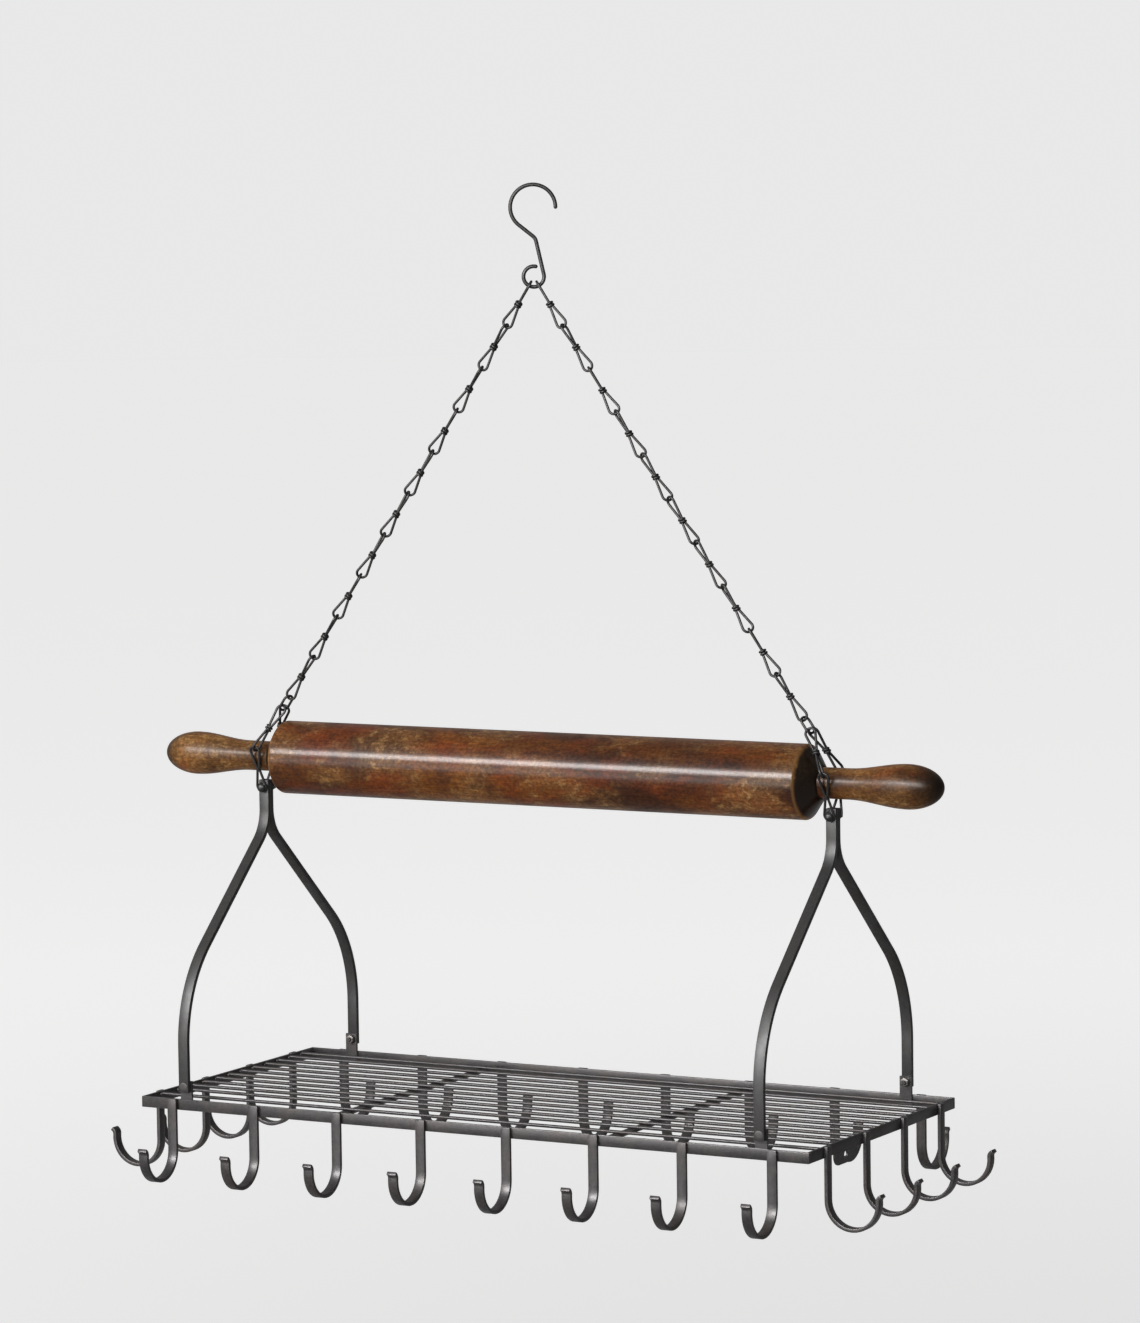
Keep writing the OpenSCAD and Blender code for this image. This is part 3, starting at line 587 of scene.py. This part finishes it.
class POTRACK_OT_pan_hooks(bpy.types.Operator):
    """Bend one pan hook from flat bar and set copies of it along the rails"""

    bl_idname = "potrack.pan_hooks"
    bl_label = "Pan Hooks"

    def execute(self, context):
        s = context.scene.pot_rack_sizes
        outer = s.hook_bend + s.hook_thickness
        centre = Vector((outer, 0, RAIL_TOP - s.hook_drop + outer))
        section = (s.hook_thickness, s.hook_width, 1)
        hook = start("plane", "pan_hook", (s.hook_thickness / 2, 0, RAIL_TOP), section, size=1)
        edit(hook)
        run((0, 0, RAIL_UNDER - RAIL_TOP))
        run((0, 0, centre.z - RAIL_UNDER))
        bend(centre, (0, 1, 0), -math.pi - s.hook_over, HOOK_PARTS)
        lip = centre + (outer + s.lip_bend) * Vector((math.cos(s.hook_over), 0, math.sin(s.hook_over)))
        bend(lip, (0, 1, 0), s.lip_turn, LIP_PARTS)
        flare = math.pi / 2 + s.hook_over - s.lip_turn
        run((s.lip_length * math.cos(flare), 0, s.lip_length * math.sin(flare)))
        outwards()
        soften(hook, s.bar_edge)
        self.set_row(hook, "front_hooks_left", "front_hooks_right", -1)
        self.set_row(hook, "back_hooks_left", "back_hooks_right", 1)
        spacing = (2 * RAIL_Y - 2 * s.hook_end_side) / 3
        for node, side, about in (("left_hooks", -1, 180), ("right_hooks", 1, 0)):
            row = [
                copied(
                    hook,
                    "side_hook",
                    Matrix.Translation((side * RAIL_X, s.hook_end_side - RAIL_Y + i * spacing, 0))
                    @ Matrix.Rotation(math.radians(about), 4, "Z"),
                )
                for i in range(4)
            ]
            fit_out(joined(row, node + "_bent"), "rack", "rack_steel", MATERIALS["bar"], node)
        bpy.data.objects.remove(hook)
        return {"FINISHED"}

    def set_row(self, hook, left_node, right_node, face):
        """Sets eight hooks along the front rail (face -1) or the back rail (face 1)."""
        s = bpy.context.scene.pot_rack_sizes
        spacing = (2 * RAIL_X - 2 * s.hook_end_long) / 7
        row = [
            copied(
                hook,
                "long_hook",
                Matrix.Translation((s.hook_end_long - RAIL_X + i * spacing, face * RAIL_Y, 0))
                @ Matrix.Rotation(math.radians(face * 90), 4, "Z"),
            )
            for i in range(8)
        ]
        fit_out(joined(row[:4], left_node + "_bent"), "rack", "rack_steel", MATERIALS["bar"], left_node)
        fit_out(joined(row[4:], right_node + "_bent"), "rack", "rack_steel", MATERIALS["bar"], right_node)


class POTRACK_OT_brackets(bpy.types.Operator):
    """Bend the four bars of the two brackets"""

    bl_idname = "potrack.brackets"
    bl_label = "Brackets"

    def execute(self, context):
        s = context.scene.pot_rack_sizes
        x = (LEG[0].x + LEG[1].x) / 2
        foot_y = LEG[1].y - s.leg_thickness / 2
        top_y = LEG[0].y + s.leg_thickness / 2
        foot_z, top_z = LEG[0].z, LEG[1].z
        upper_z = top_z - s.leg_joined
        bends = s.lower_bend + s.upper_bend
        slope = (foot_y - top_y - bends * (1 - math.cos(s.leg_slope))) / math.sin(s.leg_slope)
        lower_z = upper_z - bends * math.sin(s.leg_slope) - slope * math.cos(s.leg_slope)
        bar = start("plane", "bracket_bar", (x, foot_y, foot_z), (s.leg_width, s.leg_thickness, 1), size=1)
        edit(bar)
        run((0, 0, lower_z - foot_z))
        bend((x, foot_y - s.lower_bend, lower_z), (1, 0, 0), s.leg_slope, LOWER_BEND_PARTS)
        run((0, -slope * math.sin(s.leg_slope), slope * math.cos(s.leg_slope)))
        bend((x, top_y + s.upper_bend, upper_z), (1, 0, 0), -s.leg_slope, UPPER_BEND_PARTS)
        run((0, 0, top_z - upper_z))
        outwards()
        soften(bar, s.bar_edge)
        for node, across, along in (
            ("right_back_leg", 1, 1),
            ("right_front_leg", 1, -1),
            ("left_back_leg", -1, 1),
            ("left_front_leg", -1, -1),
        ):
            leg = copied(bar, node + "_bar", Matrix.Diagonal((across, along, 1, 1)))
            fit_out(leg, "rack", "rack_steel", MATERIALS["bracket"], node)
        bpy.data.objects.remove(bar)
        return {"FINISHED"}


class POTRACK_OT_rolling_pin(bpy.types.Operator):
    """Turn the barrel and the two handles of the rolling pin"""

    bl_idname = "potrack.rolling_pin"
    bl_label = "Rolling Pin"

    def execute(self, context):
        s = context.scene.pot_rack_sizes
        r, edge, neck = s.barrel_radius, s.barrel_edge, s.neck_radius
        cone_end = BARREL[1].x
        rim = cone_end - s.cone_length
        cone = math.atan2(r - edge - neck, s.cone_length)
        half = [
            (rim - edge + edge * math.sin(a), r - edge + edge * math.cos(a))
            for a in steps(0, math.pi / 2 - cone, RIM_PARTS)
        ]
        # the cone ends in a small rounded shoulder at the handle's neck
        half += [(cone_end - 0.0012, neck + 0.0022), (cone_end - 0.0004, neck + 0.0014), (cone_end, neck + 0.0003)]
        profile = [(-x, y) for x, y in reversed(half)]
        inner = half[0][0]
        profile += [(inner * t, r) for t in (-0.6, -0.2, 0.2, 0.6)] + half
        barrel = lathe("turned_barrel", "X", (0, 0, PIN_Z), profile, BARREL_SIDES)
        fit_out(barrel, "rolling_pin", "pin_wood", MATERIALS["barrel"], "pin_barrel")
        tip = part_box("right_handle")[1].x
        full = tip - s.handle_end
        neck_end = cone_end + s.neck_length
        profile = [(cone_end - 0.001, neck), (cone_end + 0.012, neck)]
        profile += [
            (neck_end + (full - neck_end) * t, neck + (s.handle_radius - neck) * (1 - math.cos(math.pi * t)) / 2)
            for t in steps(0, 1, HANDLE_PARTS)
        ]
        profile += [
            (full + s.handle_end * math.sin(a), s.handle_radius * math.cos(a))
            for a in steps(0, math.pi / 2 * TIP_CLOSED, TIP_PARTS)[1:]
        ]
        handle = lathe("turned_handle_right", "X", (0, 0, PIN_Z), profile, HANDLE_SIDES)
        other = copied(handle, "turned_handle_left", Matrix.Diagonal((-1, 1, 1, 1)))
        fit_out(handle, "rolling_pin", "handle_wood", MATERIALS["handle"], "right_handle")
        fit_out(other, "rolling_pin", "handle_wood", MATERIALS["handle"], "left_handle")
        return {"FINISHED"}


class POTRACK_OT_nuts(bpy.types.Operator):
    """Model chamfered nuts on the sling bolts and on the foot bolts"""

    bl_idname = "potrack.nuts"
    bl_label = "Nuts"

    def execute(self, context):
        s = context.scene.pot_rack_sizes
        corner = s.nut_width / math.cos(math.pi / 6) / 2
        # the sling nuts are chamfered on their outer faces at the back, and the foot nuts on the faces turned inwards
        for node, faces, chamfered in (("sling_nuts", (1,), 1), ("foot_nuts", (-1, 1), -1)):
            low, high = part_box(node)
            z = (low.z + high.z) / 2
            nuts = []
            for side in (low.x, high.x):
                x = side + math.copysign(corner, -side)
                for face in faces:
                    outer = high.y if face == 1 else low.y
                    nuts.append(self.nut(x, outer - face * s.nut_height / 2, z, face * chamfered))
            fit_out(joined(nuts, node + "_chamfered"), "rack", "bolt_steel", MATERIALS["nut"], node)
        return {"FINISHED"}

    @staticmethod
    def nut(x, y, z, face):
        s = bpy.context.scene.pot_rack_sizes
        nut = start(
            "cylinder", "nut", (x, y, z), turned=(math.pi / 2, 0, 0), vertices=6,
            radius=s.nut_width / 2 / math.cos(math.pi / 6), depth=s.nut_height,
        )
        edit(nut)
        bpy.ops.mesh.select_all(action="DESELECT")
        bpy.ops.object.mode_set(mode="OBJECT")
        for polygon in nut.data.polygons:
            polygon.select = polygon.normal.y * face > 0.9
        bpy.ops.object.mode_set(mode="EDIT")
        bpy.ops.mesh.bevel(offset=NUT_CHAMFER, segments=3, affect="EDGES")
        outwards()
        soften(nut, NUT_EDGE, 1, 25)
        return nut


class POTRACK_OT_foot_bolts(bpy.types.Operator):
    """Turn the four foot bolts, with low heads in the outer faces of the bracket bars"""

    bl_idname = "potrack.foot_bolts"
    bl_label = "Foot Bolts"

    def execute(self, context):
        s = context.scene.pot_rack_sizes
        low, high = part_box("foot_bolts")
        x = high.x - s.bolt_head / 2
        z = (low.z + high.z) / 2
        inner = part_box("foot_nuts")[1].y - s.nut_height - s.bolt_past
        shank, head, face = s.bolt_width / 2, s.bolt_head / 2, high.y
        profile = [
            (inner, shank * 0.8),
            (inner + shank * 0.2, shank),
            (face - head * 0.5, shank),
            (face - 0.0001, head),
            (face + HEAD_PROUD * 0.4, head * 0.97),
            (face + HEAD_PROUD * 0.8, head * 0.8),
            (face + HEAD_PROUD, head * 0.45),
        ]
        bolt = lathe("foot_bolt", "Y", (x, 0, z), profile, BOLT_SIDES)
        bolts = [
            copied(bolt, "foot_bolt", Matrix.Diagonal((across, along, 1, 1))) for across in (-1, 1) for along in (-1, 1)
        ]
        bpy.data.objects.remove(bolt)
        fit_out(joined(bolts, "foot_bolts_turned"), "rack", "bolt_steel", MATERIALS["bar"], "foot_bolts")
        return {"FINISHED"}


class POTRACK_OT_weld_beads(bpy.types.Operator):
    """Lay a weld bead at each end of the grid wires and of the two bars under them"""

    bl_idname = "potrack.weld_beads"
    bl_label = "Weld Beads"

    def execute(self, context):
        s = context.scene.pot_rack_sizes
        bead = start("cube", "bead", (0, 0, 0), (s.weld_size, s.weld_size * 2.1, s.weld_size * 1.5), size=1)
        edit(bead)
        bpy.ops.mesh.subdivide(number_cuts=3, smoothness=1.0)
        bpy.ops.transform.vertex_random(offset=s.weld_size * 0.12, seed=7)
        outwards()
        only(bead)
        bpy.ops.object.shade_smooth()
        low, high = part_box("grid_wires")
        inner_y = RAIL_Y - RAIL_T
        gap = (2 * inner_y - 2 * s.grid_front_gap) / (s.grid_wires - 1)
        beads = []
        for i in range(s.grid_wires):
            y = (i + 1) * s.grid_front_gap if i < 2 else 2 * s.grid_front_gap + (i - 1) * gap
            for side in (-1, 1):
                at = (side * high.x, y - inner_y, low.z + s.weld_size * 0.4)
                beads.append(copied(bead, "wire_bead", Matrix.Translation(at) @ Matrix.Rotation(i * 0.9, 4, "X")))
        low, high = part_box("cross_bars")
        for side in (-1, 1):
            for end in (low.y, high.y):
                at = (side * (high.x - s.cross_bar_width / 2), end - math.copysign(0.0006, end), low.z + 0.0004)
                lie = Matrix.Rotation(math.pi / 2, 4, "Z") @ Matrix.Diagonal((0.8, 2.2, 0.8, 1))
                beads.append(copied(bead, "bar_bead", Matrix.Translation(at) @ lie))
        bpy.data.objects.remove(bead)
        fit_out(joined(beads, "weld_beads"), "rack", "rack_steel", MATERIALS["bar"])
        return {"FINISHED"}


class POTRACK_OT_wire_and_bolts(bpy.types.Operator):
    """Finish the pieces that keep their built shape: ceiling hook, chains, slings and their bolts, grid, tabs, ear"""

    bl_idname = "potrack.wire_and_bolts"
    bl_label = "Wire and Bolts"

    def execute(self, context):
        for name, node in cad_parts.items():
            if node.hide_render:
                continue
            finish = MATERIALS["bar" if name in ("grid_wires", "leg_tabs", "rail_ear") else "wire"]
            for slot in node.material_slots:
                slot.material = finish
        return {"FINISHED"}


class POTRACK_OT_studio(bpy.types.Operator):
    """Set the pale floor, the soft lamps and the camera"""

    bl_idname = "potrack.studio"
    bl_label = "Studio"

    def execute(self, context):
        scene = context.scene
        c = scene.pot_rack_colours
        floor_at = (0, 0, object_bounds()[0].z - FLOOR_DROP)
        floor = start("circle", "studio_floor", floor_at, vertices=FLOOR_SIDES, radius=FLOOR_RADIUS, fill_type="NGON")
        material, tree, surface = shader("Pale floor", Roughness=0.9, Specular_IOR_Level=0.1)
        at = put(tree, "ShaderNodeTexCoord", (-700, 0)).outputs["Object"]
        cloud = put(tree, "ShaderNodeTexNoise", (-500, 0), Vector=at, Scale=0.6, Detail=2.0)
        level = put(tree, "ShaderNodeMapRange", (-300, 0), Value=cloud.outputs["Fac"], To_Min=0.985, To_Max=1.015)
        tone = blend_colours(tree, (-100, 0), 1.0, whole(c.backdrop), level.outputs[0], "MULTIPLY")
        tree.links.new(tone, surface.inputs["Base Color"])
        # the floor is lifted to the backdrop's white for the camera alone, most where the lamps don't reach
        seen = put(tree, "ShaderNodeLightPath", (400, -400)).outputs["Is Camera Ray"]
        away = put(tree, "ShaderNodeVectorMath", (0, -500), {"operation": "LENGTH"}, i0=at).outputs["Value"]
        far = put(
            tree, "ShaderNodeMapRange", (200, -500), {"interpolation_type": "SMOOTHSTEP"}, Value=away, From_Min=0.0,
            From_Max=LIFT_REACH, To_Min=LIFT_NEAR, To_Max=LIFT_FAR,
        )
        lift = sums(tree, (550, -400), "MULTIPLY", seen, far.outputs[0])
        lift = put(tree, "ShaderNodeEmission", (700, -400), Color=(1, 1, 1, 1), Strength=lift)
        both = put(tree, "ShaderNodeAddShader", (1000, -200), i0=surface.outputs[0], i1=lift.outputs[0])
        tree.links.new(both.outputs[0], tree.nodes["Material Output"].inputs["Surface"])
        floor.data.materials.append(material)
        floor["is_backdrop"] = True
        self.world(scene)
        # the softbox overhead gives shape without a reflection, and the strip gives the pin its line of gloss alone
        self.lamp("key_softbox", *KEY_SOFTBOX).visible_glossy = False
        self.lamp("strip_light", *STRIP_LIGHT).visible_diffuse = False
        self.lamp("front_softbox", *FRONT_SOFTBOX)
        self.camera(scene)
        return {"FINISHED"}

    @staticmethod
    def world(scene):
        world = bpy.data.worlds.new("Soft daylight")
        scene.world = world
        world.use_nodes = True
        tree = world.node_tree
        tree.nodes.clear()
        # the light is strongest from the upper left in front; the camera sees one even pale tone
        around = put(tree, "ShaderNodeTexCoord", (-800, 200)).outputs["Generated"]
        side = put(
            tree, "ShaderNodeVectorMath", (-600, 200), {"operation": "DOT_PRODUCT"}, i0=around, i1=DAYLIGHT_FROM
        )
        level = put(
            tree, "ShaderNodeMapRange", (-400, 200), Value=side.outputs["Value"], From_Min=-1.0,
            To_Min=DAYLIGHT_LEAST, To_Max=DAYLIGHT_MOST,
        )
        light = put(tree, "ShaderNodeBackground", (0, 100), Color=(1, 1, 1, 1), Strength=level.outputs[0])
        shown = put(tree, "ShaderNodeBackground", (0, -100), Color=(1, 1, 1, 1), Strength=DAYLIGHT_SHOWN)
        path = put(tree, "ShaderNodeLightPath", (-400, 0))
        seen = sums(tree, (-200, 0), "MAXIMUM", path.outputs["Is Camera Ray"], path.outputs["Is Transmission Ray"])
        mixed = put(tree, "ShaderNodeMixShader", (250, 0), i0=seen, i1=light.outputs[0], i2=shown.outputs[0])
        put(tree, "ShaderNodeOutputWorld", (450, 0), Surface=mixed.outputs[0])

    @staticmethod
    def lamp(name, at, toward, size, watts):
        light = bpy.data.lights.new(name, "AREA")
        light.shape = "RECTANGLE"
        light.size, light.size_y = size
        light.energy = watts
        lamp = bpy.data.objects.new(name, light)
        bpy.context.scene.collection.objects.link(lamp)
        lamp.location = at
        lamp.rotation_mode = "QUATERNION"
        lamp.rotation_quaternion = (Vector(toward) - Vector(at)).to_track_quat("-Z", "Y")
        return lamp

    @staticmethod
    def camera(scene):
        yaw, pitch, roll = CAMERA_YAW, CAMERA_PITCH, CAMERA_ROLL
        ahead = Vector((-math.sin(yaw) * math.cos(pitch), math.cos(yaw) * math.cos(pitch), -math.sin(pitch)))
        level = Vector((math.cos(yaw), math.sin(yaw), 0))
        down = ahead.cross(level)
        right = math.cos(roll) * level + math.sin(roll) * down
        up = math.sin(roll) * level - math.cos(roll) * down
        data = bpy.data.cameras.new("camera")
        data.sensor_width = CAMERA_SENSOR
        data.lens = CAMERA_LENS
        camera = bpy.data.objects.new("camera", data)
        scene.collection.objects.link(camera)
        facing = Matrix((right, up, -ahead)).transposed().to_4x4()
        camera.matrix_world = Matrix.Translation(CAMERA_AT) @ facing
        data.clip_end = 200
        scene.camera = camera
        scene.view_settings.view_transform = "Standard"


OPERATORS = (
    POTRACK_OT_finishes,
    POTRACK_OT_shelf_rails,
    POTRACK_OT_pan_hooks,
    POTRACK_OT_brackets,
    POTRACK_OT_rolling_pin,
    POTRACK_OT_nuts,
    POTRACK_OT_foot_bolts,
    POTRACK_OT_weld_beads,
    POTRACK_OT_wire_and_bolts,
    POTRACK_OT_studio,
)


class POTRACK_PT_panel(bpy.types.Panel):
    """Lists the pieces of the pot rack, and their sizes and colours"""

    bl_label = "Pot Rack"
    bl_space_type = "VIEW_3D"
    bl_region_type = "UI"
    bl_category = "Pot Rack"

    def draw(self, context):
        for operator in OPERATORS:
            self.layout.operator(operator.bl_idname)
        for settings in (context.scene.pot_rack_sizes, context.scene.pot_rack_colours):
            box = self.layout.box()
            for key in settings.bl_rna.properties.keys():
                if key not in ("rna_type", "name"):
                    box.prop(settings, key)


CLASSES = (PotRackSizes, PotRackColours) + OPERATORS + (POTRACK_PT_panel,)


def register():
    for cls in CLASSES:
        bpy.utils.register_class(cls)
    bpy.types.Scene.pot_rack_sizes = bpy.props.PointerProperty(type=PotRackSizes)
    bpy.types.Scene.pot_rack_colours = bpy.props.PointerProperty(type=PotRackColours)


def unregister():
    del bpy.types.Scene.pot_rack_colours
    del bpy.types.Scene.pot_rack_sizes
    for cls in reversed(CLASSES):
        bpy.utils.unregister_class(cls)


def main():
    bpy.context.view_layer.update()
    register()
    for operator in OPERATORS:
        group, name = operator.bl_idname.split(".")
        getattr(getattr(bpy.ops, group), name)()
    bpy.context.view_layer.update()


if __name__ == "__main__":
    main()
